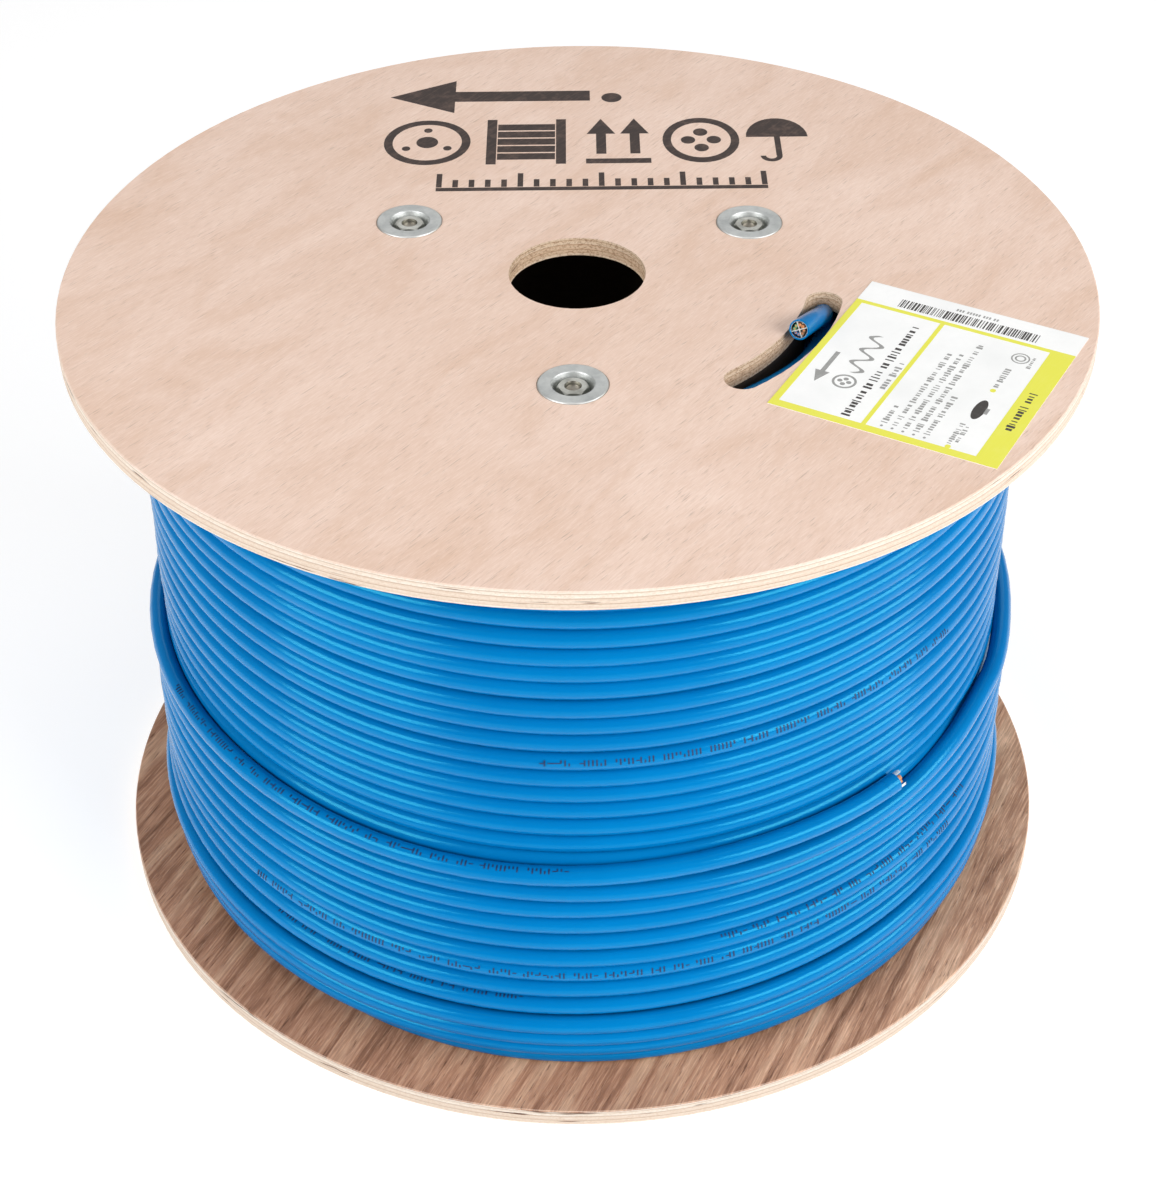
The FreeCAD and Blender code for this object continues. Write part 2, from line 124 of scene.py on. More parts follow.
class Shader:
    """One procedural material. Most methods add nodes and give back an output socket."""

    def __init__(self, name, **surface):
        self.material = bpy.data.materials.new(name)
        self.material.use_nodes = True
        self.tree = self.material.node_tree
        self.surface = self.tree.nodes["Principled BSDF"]
        self.dress(**surface)
        self.place = self.node("ShaderNodeTexCoord", 3)

    def fill(self, node, values):
        """Links sockets into a node's inputs, and sets the other values."""
        for key, value in values.items():
            if isinstance(value, bpy.types.NodeSocket):
                self.tree.links.new(value, node.inputs[key])
            else:
                node.inputs[key].default_value = value

    def dress(self, **surface):
        """Fills the surface's own inputs, named with _ for a space; gives back the material."""
        self.fill(self.surface, {key.replace("_", " "): value for key, value in surface.items()})
        return self.material

    def node(self, kind, output=0, values=None, **settings):
        """A new node with these input values and settings; gives back one of its outputs."""
        made = self.tree.nodes.new(kind)
        for key, value in settings.items():
            setattr(made, key, value)
        self.fill(made, values or {})
        return made.outputs[output]

    def map(self, scale, turn=0.0):
        """The object's own coordinates, turned about Z and then scaled."""
        turned = self.node("ShaderNodeMapping", 0, {0: self.place, 2: (0, 0, turn)})
        return self.node("ShaderNodeMapping", 0, {0: turned, 3: scale})

    def noise(self, vector, scale, detail, rough, bend=0.0):
        values = {"Vector": vector, "Scale": scale, "Detail": detail}
        values.update({"Roughness": rough, "Distortion": bend})
        return self.node("ShaderNodeTexNoise", 0, values)

    def grain(self, scales, detail, rough, bend=0.0, turn=0.0):
        """Noise with a scale of its own along each axis."""
        return self.noise(self.map(scales, turn), 1.0, detail, rough, bend)

    def ramp(self, factor, stops):
        """A colour that runs through the stops, each given as its place and colour."""
        made = self.tree.nodes.new("ShaderNodeValToRGB")
        points = made.color_ramp.elements
        while len(points) < len(stops):
            points.new(0.5)
        for point, (at, colour) in zip(points, stops):
            point.position = at
            point.color = (*colour, 1)
        self.tree.links.new(factor, made.inputs[0])
        return made.outputs[0]

    def spread(self, value, low, high, to_low=0.0, to_high=1.0):
        """Carries the range from low to high over to another range, and holds it beyond."""
        values = {0: value, 1: low, 2: high, 3: to_low, 4: to_high}
        return self.node("ShaderNodeMapRange", 0, values)

    def mix(self, factor, first, second, mode="MIX"):
        values = {0: factor, 6: self.rgba(first), 7: self.rgba(second)}
        return self.node("ShaderNodeMix", 2, values, data_type="RGBA", blend_type=mode)

    def rgba(self, colour):
        return colour if isinstance(colour, bpy.types.NodeSocket) else (*colour, 1)

    def math(self, kind, first, second=0.0):
        return self.node("ShaderNodeMath", 0, {0: first, 1: second}, operation=kind)

    def split(self, vector, axis):
        return self.node("ShaderNodeSeparateXYZ", axis, {0: vector})

    def bump(self, height, strength, distance, below=None):
        """A bumpy normal, on top of another one if it's given."""
        values = {"Height": height, "Strength": strength, "Distance": distance}
        if below is not None:
            values["Normal"] = below
        return self.node("ShaderNodeBump", 0, values)


def tone(red, green, blue):
    """A colour given as 0 to 255 display values, in the linear values that shaders take."""
    linear = []
    for part in (red, green, blue):
        part = part / 255
        linear.append(part / 12.92 if part < 0.04045 else ((part + 0.055) / 1.055) ** 2.4)
    return tuple(linear)


# ---------------------------------------------------------------- plywood


def veneer(shader, tones, turn, scales, streak, contrast):
    """Colour and height of a rotary-cut face, with three tones and three sizes of grain."""
    pale, mid, dark = tones
    band_scale, fibre_scale, pore_scale = scales
    bands = shader.grain(band_scale, 5, 0.6, bend=0.9, turn=turn)
    fibre = shader.grain(fibre_scale, 4, 0.7, turn=turn)
    pore = shader.grain(pore_scale, 2, 0.5, turn=turn)
    stain = shader.noise(shader.place, 9.0, 3, 0.6, bend=0.4)
    speck = shader.noise(shader.place, 46.0, 4, 0.7)
    deepest = [part * 0.62 for part in dark]
    base = shader.ramp(bands, [(0.34, pale), (0.5, mid), (0.72, dark)])
    base = shader.mix(shader.spread(stain, 0.38, 0.7), base, shader.mix(0.5, base, dark))
    base = shader.mix(shader.spread(speck, 0.62, 0.8, 0, 0.45), base, dark)
    base = shader.mix(shader.spread(fibre, 0.35, 0.75, 0, contrast), base, dark)
    base = shader.mix(shader.spread(fibre, 0.5, 0.25, 0, contrast), base, pale)
    base = shader.mix(shader.spread(pore, 0.62, 0.74, 0, streak), base, deepest)
    height = shader.math("SUBTRACT", fibre, shader.spread(pore, 0.6, 0.74, 0, 0.8))
    return base, height


def good_face(shader):
    """The pale, fine-grained face on the outside of a flange."""
    tones = (tone(241, 217, 203), tone(234, 208, 193), tone(221, 189, 168))
    scales = ((16, 44, 30), (170, 1900, 1200), (150, 2600, 900))
    return veneer(shader, tones, GRAIN_TURN, scales, 0.62, 0.68)


def plain_face(shader):
    """The brown, coarse-grained face towards the cable, with painted light that makes it lighter to the
    right.
    """
    tones = (tone(228, 182, 148), tone(196, 144, 113), tone(108, 70, 50))
    scales = ((11, 150, 80), (70, 1300, 800), (130, 1350, 900))
    base, height = veneer(shader, tones, math.radians(-64), scales, 0.7, 0.55)
    # painted light: the face is made brighter towards the right, up to 1.75 times
    painted_light_to_right = shader.spread(shader.split(shader.place, 0), 0.02, 0.19)
    return shader.mix(painted_light_to_right, base, (1.55, 1.7, 1.75), "MULTIPLY"), height


def ply_edge(shader, floor):
    """Colour and height of the sheet's edge: plies, fuzz, painted shade of small voids, and browner
    sawn walls.
    """
    depth = shader.spread(shader.split(shader.place, 2), floor, floor + SHEET * MM)
    wander = shader.grain((26, 26, 60), 3, 0.6)
    depth = shader.math("ADD", depth, shader.spread(wander, 0, 1, -0.05, 0.05))
    light = tone(227, 217, 205)
    cream = tone(218, 204, 188)
    glue = tone(174, 150, 130)
    rosy = tone(210, 190, 173)
    plies = shader.ramp(
        depth,
        [
            (0.0, light), (0.10, light), (0.13, rosy), (0.30, cream), (0.335, glue), (0.37, rosy),
            (0.50, cream), (0.60, rosy), (0.635, glue), (0.67, light), (0.84, cream), (0.87, glue),
            (0.90, light), (1.0, light),
        ],
    )
    fuzz = shader.grain((900, 900, 1500), 3, 0.75)
    strand = shader.grain((60, 60, 2400), 3, 0.6)
    void_shade = shader.grain((34, 34, 700), 2, 0.5)
    edge = shader.mix(shader.spread(fuzz, 0.45, 0.75, 0, 0.5), plies, tone(184, 152, 124))
    edge = shader.mix(shader.spread(strand, 0.55, 0.72, 0, 0.5), edge, tone(196, 166, 138))
    # painted shade: small voids in the edge are coloured dark brown for the shade inside them
    edge = shader.mix(shader.spread(void_shade, 0.67, 0.72), edge, tone(96, 66, 50))
    # the walls of the arbor hole and the slot lie further in than the rim
    radius = shader.node("ShaderNodeVectorMath", 1, {0: shader.map((1, 1, 0))}, operation="LENGTH")
    sawn = shader.spread(radius, 0.165, 0.16)
    # the walls of the arbor hole and the slot are made darker and browner than the rim
    browner_walls = shader.mix(shader.spread(fuzz, 0.5, 0.62, 0, 0.55), edge, tone(126, 88, 62))
    browner_walls = shader.mix(1.0, browner_walls, (1.0, 0.88, 0.74), "MULTIPLY")
    return shader.mix(sawn, edge, browner_walls), shader.math("ADD", fuzz, strand)


def plywood(name, floor, outer):
    """Plywood of a flange whose lower face is at height floor, in metres.

    Outer is 1 if its good face looks up, and -1 if it looks down.
    """
    shader = Shader(name, Roughness=0.62, Specular_IOR_Level=0.25)
    good, good_height = good_face(shader)
    plain, plain_height = plain_face(shader)
    edge, edge_height = ply_edge(shader, floor)
    side = shader.split(shader.node("ShaderNodeTexCoord", 1), 2)
    outward = shader.spread(shader.math("MULTIPLY", side, outer), -0.3, 0.3)
    flat = shader.spread(shader.math("ABSOLUTE", side), 0.55, 0.75)
    colour = shader.mix(flat, edge, shader.mix(outward, plain, good))
    height = shader.mix(flat, edge_height, shader.mix(outward, plain_height, good_height))
    return shader.dress(Base_Color=colour, Normal=shader.bump(height, 0.35, 0.3 * MM))


# ---------------------------------------------------------------- other materials


def jacket_material():
    """Satin blue extruded jacket with faint scuffs."""
    shader = Shader("jacket", IOR=1.5, Specular_IOR_Level=0.42, Specular_Tint=(0.12, 0.98, 1.0, 1))
    wide = shader.noise(shader.place, 14.0, 3, 0.5)
    fine = shader.noise(shader.place, 900.0, 3, 0.6)
    uneven = shader.noise(shader.place, 55.0, 2, 0.5)
    scuff = shader.grain((60, 60, 1400), 3, 0.7)
    base = shader.ramp(wide, [(0.3, tone(0, 109, 175)), (0.7, tone(0, 118, 184))])
    base = shader.mix(shader.spread(scuff, 0.66, 0.8, 0, 0.25), base, tone(30, 140, 205))
    rough = shader.spread(fine, 0.3, 0.7, 0.15, 0.22)
    dents = shader.bump(uneven, 0.35, 0.5 * MM)
    relief = shader.bump(fine, 0.08, 0.05 * MM, dents)
    return shader.dress(Base_Color=base, Roughness=rough, Normal=relief)


def metal(name, colour, dark, rough):
    """A plated or bare metal with cloudy tarnish and fine scratches."""
    shader = Shader(name, Metallic=1.0)
    cloud = shader.noise(shader.place, 160.0, 4, 0.6)
    line = shader.grain((1600, 192, 480), 3, 0.6, turn=0.6)
    base = shader.mix(shader.spread(cloud, 0.4, 0.75), colour, dark)
    gloss = shader.spread(cloud, 0.3, 0.7, rough, rough + 0.14)
    gloss = shader.math("ADD", gloss, shader.spread(line, 0.4, 0.7, 0, 0.08))
    relief = shader.bump(line, 0.15, 0.05 * MM)
    return shader.dress(Base_Color=base, Roughness=gloss, Normal=relief)


def plastic(name, colour, dark, rough):
    """A moulded or printed matt material with slight mottling."""
    shader = Shader(name, IOR=1.48)
    fine = shader.noise(shader.place, 500.0, 4, 0.6)
    wide = shader.noise(shader.place, 40.0, 3, 0.55)
    base = shader.mix(shader.spread(wide, 0.35, 0.75), colour, dark)
    base = shader.mix(shader.spread(fine, 0.5, 0.8, 0, 0.35), base, dark)
    gloss = shader.spread(fine, 0.3, 0.7, rough - 0.05, rough + 0.08)
    relief = shader.bump(fine, 0.1, 0.04 * MM)
    return shader.dress(Base_Color=base, Roughness=gloss, Normal=relief)


def board(name):
    """Brown spiral-wound paperboard, darkened as painted shade so the arbor hole and the slot read near
    black: long fibres and the seams of its strips.
    """
    strips_in_a_metre = 14.0
    shader = Shader(name, Roughness=0.85)
    fibre = shader.grain((220, 220, 700), 4, 0.7)
    x, y, z = (shader.split(shader.place, axis) for axis in range(3))
    climb = shader.math("MULTIPLY", z, strips_in_a_metre)
    turns = shader.math("DIVIDE", shader.math("ARCTAN2", y, x), math.tau)
    strip = shader.math("FRACT", shader.math("ADD", climb, turns))
    seam = shader.math("ABSOLUTE", shader.math("SUBTRACT", strip, 0.5))
    # painted shade: the board's browns are kept very dark, so the core seen down the arbor hole and the
    # slot looks like deep shade
    base = shader.mix(fibre, tone(54, 44, 36), tone(84, 70, 56))
    base = shader.mix(shader.spread(seam, 0.02, 0.0), base, tone(40, 32, 26))
    return shader.dress(Base_Color=base, Normal=shader.bump(fibre, 0.3, 0.2 * MM))


def ink_material(name, colour, worn, gaps, scale):
    """Printing ink with gaps along the grain and in patches."""
    shader = Shader(name, Roughness=0.6)
    fibre = shader.grain((90, 1100, 600), 4, 0.7, turn=GRAIN_TURN)
    patch = shader.noise(shader.place, scale, 4, 0.65)
    base = shader.mix(shader.spread(fibre, 0.5, 0.85, 0, gaps), colour, worn)
    base = shader.mix(shader.spread(patch, 0.5, 0.8, 0, gaps), base, worn)
    return shader.dress(Base_Color=base, Normal=shader.bump(fibre, 0.15, 0.1 * MM))


def floor_material():
    """Pale paper, lit from within as far as it takes to look white."""
    shader = Shader("studio_floor", Roughness=0.7)
    soft = shader.noise(shader.place, 3.0, 2, 0.5)
    base = shader.mix(soft, (0.70, 0.70, 0.70), (0.73, 0.73, 0.73))
    return shader.dress(Base_Color=base, Emission_Color=(1, 1, 1, 1), Emission_Strength=0.44)


# ---------------------------------------------------------------- small builders


def new_object(name, data, material, slot):
    """An object in the scene; with a slot, it is a piece that rides on the reel."""
    made = bpy.data.objects.new(name, data)
    bpy.context.scene.collection.objects.link(made)
    data.materials.append(material)
    if slot:
        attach(made, BODY)
    return made


def mesh_object(name, shape, material, slot, smooth=False):
    """A mesh piece from a finished bmesh."""
    mesh = bpy.data.meshes.new(name)
    bmesh.ops.recalc_face_normals(shape, faces=shape.faces)
    shape.to_mesh(mesh)
    shape.free()
    for polygon in mesh.polygons:
        polygon.use_smooth = smooth
    return new_object(name, mesh, material, slot)


def cable_object(name, points, material):
    """A run of cable: a smooth NURBS line that follows the given control points."""
    curve = bpy.data.curves.new(name, "CURVE")
    curve.dimensions = "3D"
    curve.bevel_depth = CABLE / 2 * MM
    curve.bevel_resolution = 5
    curve.use_fill_caps = True
    spline = curve.splines.new("NURBS")
    spline.points.add(len(points) - 1)
    for point, (x, y, z) in zip(spline.points, points):
        point.co = (x * MM, y * MM, z * MM, 1)
    spline.order_u = 3
    spline.use_endpoint_u = True
    spline.resolution_u = 5
    return new_object(name, curve, material, "cable_jacket")


def skin(shape, one, two):
    """The band of faces between two loops of as many points."""
    for a in range(len(one)):
        b = (a + 1) % len(one)
        shape.faces.new((one[a], one[b], two[b], two[a]))


# ---------------------------------------------------------------- routes of the cable

# control points lie STEP degrees apart, and the smooth line runs inside them by the factor FLAT
STEP = 15
FLAT = (3 + math.cos(math.radians(STEP))) / 4

# the rows sag, most of all at the angle FRONT; the sag sets in over the first heights above its
# floor, and dies out again over the last ones below the top row
FRONT = -97
SAG_FLOOR = 11
SAG_ABOVE_FLOOR = 26
SAG_BELOW_TOP = 45

# the sag of the outermost layer and of the one beneath: how far the front lies below the left
# and the right, and over how many degrees
LAST_SAG = (7.0, 4.5, 48)
FULL_SAG = (7.2, 5.8, 47)

# the outermost layer: heights and radii of its rows at the front, from the bottom flange up
LAST_ROWS = [11.3, 18.2, 25.2, 32.3, 40.65, 49.45, 57.65, 65.25, 73.75, 82.55, 90.15, 98.85]
LAST_RADII = [165.3, 168.2, 169.6, 170.9, 168.1, 167.9, 167.6, 168.0, 167.7, 168.0, 167.7, 167.9]
LAST_END = -460
LAST_START = LAST_END - 360 * (len(LAST_ROWS) - 1)

# the layer beneath it: the same, from the top flange down
FULL_ROWS = [
    240.2, 233.2, 225.6, 218.1, 209.85, 201.95, 195.15, 188.05, 179.55, 172.35, 164.75, 156.35,
    148.25, 141.05, 133.45, 125.75, 117.65, 109.9, 102.2, 94.4, 86.6, 78.9, 71.2,
]
FULL_RADII = [162.05] * len(FULL_ROWS)
FULL_START = -100

# both layers begin LEAD degrees before their first row, BURIED deeper, and come up from there
# over BURIED_TURN degrees
LEAD = 60
BURIED = 10.5
BURIED_TURN = 75

# angles and heights of the cable where it leaves the outermost layer
RISE = [(-445, 98.9), (-430, 99.0), (-417, 99.3), (-406, 101.0), (-396, 104.8)]
RISE_RADIUS = 168.2

# the loose last turn: heights at both ends, and at each step between, from half a step in; it
# lies closer to the winding on the left and right, by TAIL_TIGHT
TAIL_HEIGHTS = [
    107.8, 111.0, 113.2, 113.5, 113.4, 113.6, 113.5, 113.4, 113.6, 113.5, 113.6, 113.4,
    113.5, 112.9, 109.4, 107.5, 109.6, 110.9, 110.9,
]
TAIL_START = -388
TAIL_END = -48
TAIL_STEP = 20
TAIL_RADIUS = 169.65
TAIL_TIGHT = 0.95

# the first turns on the core, which tighten and climb towards the starting end, and are drawn
# in and raised beneath the near end of the slot
INNER_START = 645
INNER_STEPS = 40
INNER_RADIUS = 94.2
INNER_TIGHTEN = 5.0
INNER_HEIGHT = 232.6
INNER_CLIMB = 3.2
SLOT_END = 306
DRAWN_IN = 3.6
RAISED = 5.7

# the starting end: up through the slot to the cut
INNER_END = [
    (78.0, 45.0, 236.0), (87.2, 25.5, 236.3), (91.4, 3.0, 236.2),
    (90.4, -18.0, 243.0), (84.8, -33.0, 250.6), (78.4, -46.0, 254.6),
]


def between(values, at):
    """The value at a place between two of a list's numbers."""
    low = min(max(int(math.floor(at)), 0), len(values) - 2)
    share = min(max(at - low, 0), 1)
    return values[low] * (1 - share) + values[low + 1] * share


def bell(off, width):
    """1 in the middle, and smoothly down to 0 on both sides."""
    return math.exp(-((off / width) ** 2))


def dip(angle, left, right, width):
    """How much higher a row lies at an angle than at the front, where the rows sag."""
    off = (angle - FRONT + 180) % 360 - 180
    most = left if off < 0 else right
    return most * (1 - bell(off, width))


def fade(height):
    """The share of the sag at a height: 1 in the middle, and down to 0 against the flanges."""
    above = (height - SAG_FLOOR) / SAG_ABOVE_FLOOR
    below = (FULL_ROWS[0] - height) / SAG_BELOW_TOP
    return max(0.0, min(1.0, above, below))


def buried(turned):
    """How much deeper a layer's cable lies just after it comes up from the layers beneath."""
    return BURIED * max(0.0, 1 - turned / BURIED_TURN) ** 2


def wave(seed):
    """A small smooth unevenness round a turn."""
    chance = random.Random(seed)
    parts = [(order, chance.uniform(-1, 1), chance.uniform(0, math.tau)) for order in (1, 2, 3, 5)]
    return lambda angle: sum(size * math.sin(order * angle + phase) / 2 for order, size, phase in parts)


def unevenness(waves, at, turn):
    """The unevenness at a place in a layer, blended from the waves of two turns."""
    lower = int(math.floor(at))
    share = at - lower
    return waves[lower + 1](turn) * (1 - share) + waves[lower + 2](turn) * share


def ring_point(angle, radius, height):
    """A control point of a line that runs round the reel at the given radius."""
    turn = math.radians(angle)
    return (radius * math.cos(turn) / FLAT, radius * math.sin(turn) / FLAT, height)


def layer_points(first, heights, radii, sag, seed, sway):
    """A wound layer, with its heights and radii at angle first and after each turn from there."""
    rows = len(heights) - 1
    waves = [wave(seed + k) for k in range(rows + 3)]
    points = []
    for angle in range(first - LEAD, first + 360 * rows + 1, STEP):
        at = (angle - first) / 360
        height = between(heights, at)
        height += dip(angle, *sag) * fade(height)
        radius = between(radii, at) - buried(angle - first + LEAD)
        radius += sway * unevenness(waves, at, math.radians(angle))
        points.append(ring_point(angle, radius, height))
    return points


def loose_turn_points():
    """The loose last turn, which rises out of the outermost layer and ends at the cut."""
    half = TAIL_STEP // 2
    middle = range(TAIL_START + half, TAIL_END, TAIL_STEP)
    points = [ring_point(angle, RISE_RADIUS, height) for angle, height in RISE]
    for angle, height in zip((TAIL_START, *middle, TAIL_END), TAIL_HEIGHTS):
        turn = math.radians(angle)
        radius = TAIL_RADIUS - TAIL_TIGHT * math.cos(turn) ** 4
        if angle in middle:
            radius /= math.cos(math.radians(half))
        points.append((radius * math.cos(turn), radius * math.sin(turn), height))
    return points


def last_layer_points():
    """The outermost layer, bottom to top, and then the loose last turn up to the cut end."""
    layer = layer_points(LAST_START, LAST_ROWS, LAST_RADII, LAST_SAG, seed=100, sway=0.35)
    return layer + loose_turn_points()


def full_layer_points():
    """The layer beneath, from the top flange down to where the outermost layer hides it."""
    return layer_points(FULL_START, FULL_ROWS, FULL_RADII, FULL_SAG, seed=300, sway=0.3)


def inner_end_points():
    """The first turns on the core, and the starting end, which comes out through the slot."""
    points = []
    for step in range(INNER_STEPS):
        angle = INNER_START - step * STEP
        share = step / INNER_STEPS
        radius = INNER_RADIUS - INNER_TIGHTEN * share ** 2 - DRAWN_IN * bell(angle - SLOT_END, 27)
        height = INNER_HEIGHT + INNER_CLIMB * share + RAISED * bell(angle - SLOT_END, 31)
        points.append(ring_point(angle, radius, height))
    return points + INNER_END


# ---------------------------------------------------------------- cut ends and the bulk

# length of the cut sleeve of jacket, and radius of the hole in it
CUT = 6.0
BORE = 3.15


def shortened(points):
    """The route without its last few millimetres, which the cut jacket sleeve takes."""
    before, end = Vector(points[-2]), Vector(points[-1])
    back = end - (end - before).normalized() * CUT
    return points[:-1] + [tuple(back)]


class Cut:
    """The frame of a cut end: its centre, the way it points, and two directions across it."""

    def __init__(self, points):
        before, self.centre = Vector(points[-2]), Vector(points[-1])
        self.along = (self.centre - before).normalized()
        self.side = self.along.cross(Vector((0, 0, 1))).normalized()
        self.up = self.side.cross(self.along).normalized()

    def point(self, radius, angle, ahead):
        """A point round the axis; angle 0 is to the side, 90 is the top."""
        turn = math.radians(angle)
        across = self.side * math.cos(turn) + self.up * math.sin(turn)
        return (self.centre + across * radius + self.along * ahead) * MM


def sleeve(shape, cut, inner, outer, start, stop, back, front, ragged, parts=40):
    """A closed piece of tube wall from angle start to stop, and from back to front."""
    whole = stop - start >= 360
    rings = []
    for k in range(parts if whole else parts + 1):
        angle = start + (stop - start) * k / parts
        tip = front + draw.uniform(-ragged, ragged)
        corners = ((outer, back), (outer, tip), (inner, tip), (inner, back))
        rings.append([shape.verts.new(cut.point(radius, angle, ahead)) for radius, ahead in corners])
    following = rings[1:] + rings[:1] if whole else rings[1:]
    for one, two in zip(rings, following):
        skin(shape, one, two)
    if not whole:
        shape.faces.new(rings[0])
        shape.faces.new(rings[-1])


def wire(shape, cut, off, angle, radius, ahead):
    """A short wire end that stands out of the cut by ahead."""
    parts = 10
    root = -1.0
    middle = cut.point(off, angle, 0)
    rings = []
    for far in (root, ahead):
        ring = []
        for k in range(parts):
            turn = math.tau * k / parts
            across = cut.side * math.cos(turn) + cut.up * math.sin(turn)
            ring.append(shape.verts.new(middle + (across * radius + cut.along * far) * MM))
        rings.append(ring)
    skin(shape, *rings)
    shape.faces.new(rings[0])
    shape.faces.new(rings[1])


def jacket_sleeve(name, points, material):
    """The last millimetres of jacket, hollow, with a slightly uneven cut face."""
    shape = bmesh.new()
    sleeve(shape, Cut(points), BORE, CABLE / 2, 0, 360, back=-CUT, front=0.0, ragged=0.06)
    return mesh_object(name, shape, material, "cable_jacket")


def winding_bulk(material):
    """The turns beneath the two visible layers, as one closed ring with a row-by-row profile."""
    rows = 31
    pitch = 7.6
    groove_radius = 155.6
    bulge = 3.6
    low = SHEET + 0.4
    high = TOP_FLANGE - 0.4
    inside = CORE_RADIUS + 0.3
    # the first turns on the core lie on a step in the top of the ring
    step_radius = 97.6
    step_height = high - 15.0
    outline = []
    for k in range(rows):
        for part in range(6):
            turn = math.pi * (part + 0.5) / 6
            z = low + k * pitch + pitch / 2 * (1 - math.cos(turn))
            outline.append((groove_radius + bulge * math.sin(turn), min(z, high)))
    outline += [(step_radius, high), (step_radius, step_height), (inside, step_height), (inside, low)]
    parts = 120
    shape = bmesh.new()
    rings = []
    for k in range(parts):
        turn = math.tau * k / parts
        east, north = MM * math.cos(turn), MM * math.sin(turn)
        rings.append([shape.verts.new((r * east, r * north, z * MM)) for r, z in outline])
    for one, two in zip(rings, rings[1:] + rings[:1]):
        skin(shape, one, two)
    return mesh_object("winding_bulk", shape, material, "cable_jacket", smooth=True)


# ---------------------------------------------------------------- print on the jacket

# heights over the printed surface: of ink, of ink that may lie over other ink, and of the
# underside of both, which is sunk into a sheet
INK = 0.03
OVERPRINT = 0.05
SUNK = -0.01


def centreline(cord):
    """The points of a cord's own smooth line, in metres."""
    bare = cord.data.copy()
    bare.bevel_depth = 0
    line = bpy.data.objects.new("line", bare)
    bpy.context.scene.collection.objects.link(line)
    bpy.context.view_layer.update()
    drawn = line.evaluated_get(bpy.context.evaluated_depsgraph_get())
    mesh = bpy.data.meshes.new_from_object(drawn)
    points = [vertex.co.copy() for vertex in mesh.vertices]
    bpy.data.objects.remove(line)
    bpy.data.curves.remove(bare)
    bpy.data.meshes.remove(mesh)
    return points


def turned_angles(points, first=None, last=None):
    """Each point's angle round the reel, counted on over the turns from the first or to the last."""
    angles = [0.0]
    for a, b in zip(points, points[1:]):
        step = math.degrees(math.atan2(a.x * b.y - a.y * b.x, a.x * b.x + a.y * b.y))
        angles.append(angles[-1] + step)
    shift = first - angles[0] if first is not None else last - angles[-1]
    return [angle + shift for angle in angles]


def print_marks(shape, points, angles, start, stop, tilt, seed):
    """Groups of plain ticks and dashes along the jacket, between two angles round the reel.

    Tilt is how many degrees they lie above the jacket's outermost line.
    """
    chance = random.Random(seed)
    surface = (CABLE / 2 + INK) * MM
    sunk = -0.12 * MM
    # degrees round the reel in a millimetre of cable, at about the radius of the rows
    degrees = math.degrees(1 / 165)
    thin = 0.54 * degrees
    long = 2.6 * thin
    pitch = 1.4 * degrees
    gap = 2.4 * degrees
    half_tall = 17
    half_flat = 3
    low = next(k for k, angle in enumerate(angles) if angle >= start)
    high = next(k for k, angle in enumerate(angles) if angle >= stop)

    def at(angle, turn, out):
        """A point on the jacket, at an angle round the reel and a turn round the cable."""
        k = low
        while angles[k + 1] < angle and k < high:
            k += 1
        share = (angle - angles[k]) / (angles[k + 1] - angles[k])
        middle = points[k].lerp(points[k + 1], share)
        outward = Vector((middle.x, middle.y, 0)).normalized()
        across = outward * math.cos(turn) + Vector((0, 0, 1)) * math.sin(turn)
        return middle + across * (surface + out)

    def stroke(from_angle, to_angle, from_turn, to_turn):
        """One closed mark that follows the curve of the jacket."""
        bends = 3
        rings = []
        for k in range(bends + 1):
            turn = math.radians(from_turn + (to_turn - from_turn) * k / bends)
            corners = ((from_angle, 0), (to_angle, 0), (to_angle, sunk), (from_angle, sunk))
            rings.append([shape.verts.new(at(angle, turn, out)) for angle, out in corners])
        for one, two in zip(rings, rings[1:]):
            skin(shape, one, two)
        shape.faces.new(rings[0])
        shape.faces.new(rings[-1])

    angle = start
    while angle < stop:
        for _ in range(chance.randint(4, 11)):
            kind = chance.choice(("tall", "tall", "tall", "low", "high", "dash"))
            if kind == "dash":
                stroke(angle, angle + long, tilt - half_flat, tilt + half_flat)
            else:
                bottom = tilt - (1 if kind == "high" else half_tall)
                top = tilt + (1 if kind == "low" else half_tall)
                stroke(angle, angle + thin, bottom, top)
            angle += pitch
        angle += gap


def jacket_print(last, full):
    """Marks on the loose turn, on three rows of the outermost layer and on one row beneath."""
    shape = bmesh.new()
    line = centreline(last)
    angles = turned_angles(line, last=TAIL_END)
    # whole turns back from the cut end, first and last angle, tilt and seed
    for turns, start, stop, tilt, seed in (
        (0, -152, -91, 70, 1), (-6, -134, -32, 18, 2), (-5, -71, -29, 52, 3), (-8, -131, -97, 80, 4),
    ):
        print_marks(shape, line, angles, start + 360 * turns, stop + 360 * turns, tilt, seed)
    line = centreline(full)
    angles = turned_angles(line, first=FULL_START - LEAD)
    print_marks(shape, line, angles, -95 + 360 * 11, -40 + 360 * 11, 22, 5)
    ink = ink_material("jacket_mark_ink", tone(2, 40, 84), tone(0, 76, 138), 0.6, 700.0)
    mesh_object("jacket_marks", shape, ink, "cable_jacket")


# ---------------------------------------------------------------- print on label and flange

LABEL_AT = (122.6, -68.3)
LABEL_TURN = math.radians(-29)
LABEL_SIZE = (83, 90.5)
LABEL_TOP = FACE_TOP + 0.2


def on_label(across, along, height):
    """A point over the label; across and along run from 0 to 1, from its near left corner."""
    u = (across - 0.5) * LABEL_SIZE[0]
    v = (along - 0.5) * LABEL_SIZE[1]
    x = LABEL_AT[0] + u * math.cos(LABEL_TURN) - v * math.sin(LABEL_TURN)
    y = LABEL_AT[1] + u * math.sin(LABEL_TURN) + v * math.cos(LABEL_TURN)
    return (x * MM, y * MM, (LABEL_TOP + height) * MM)


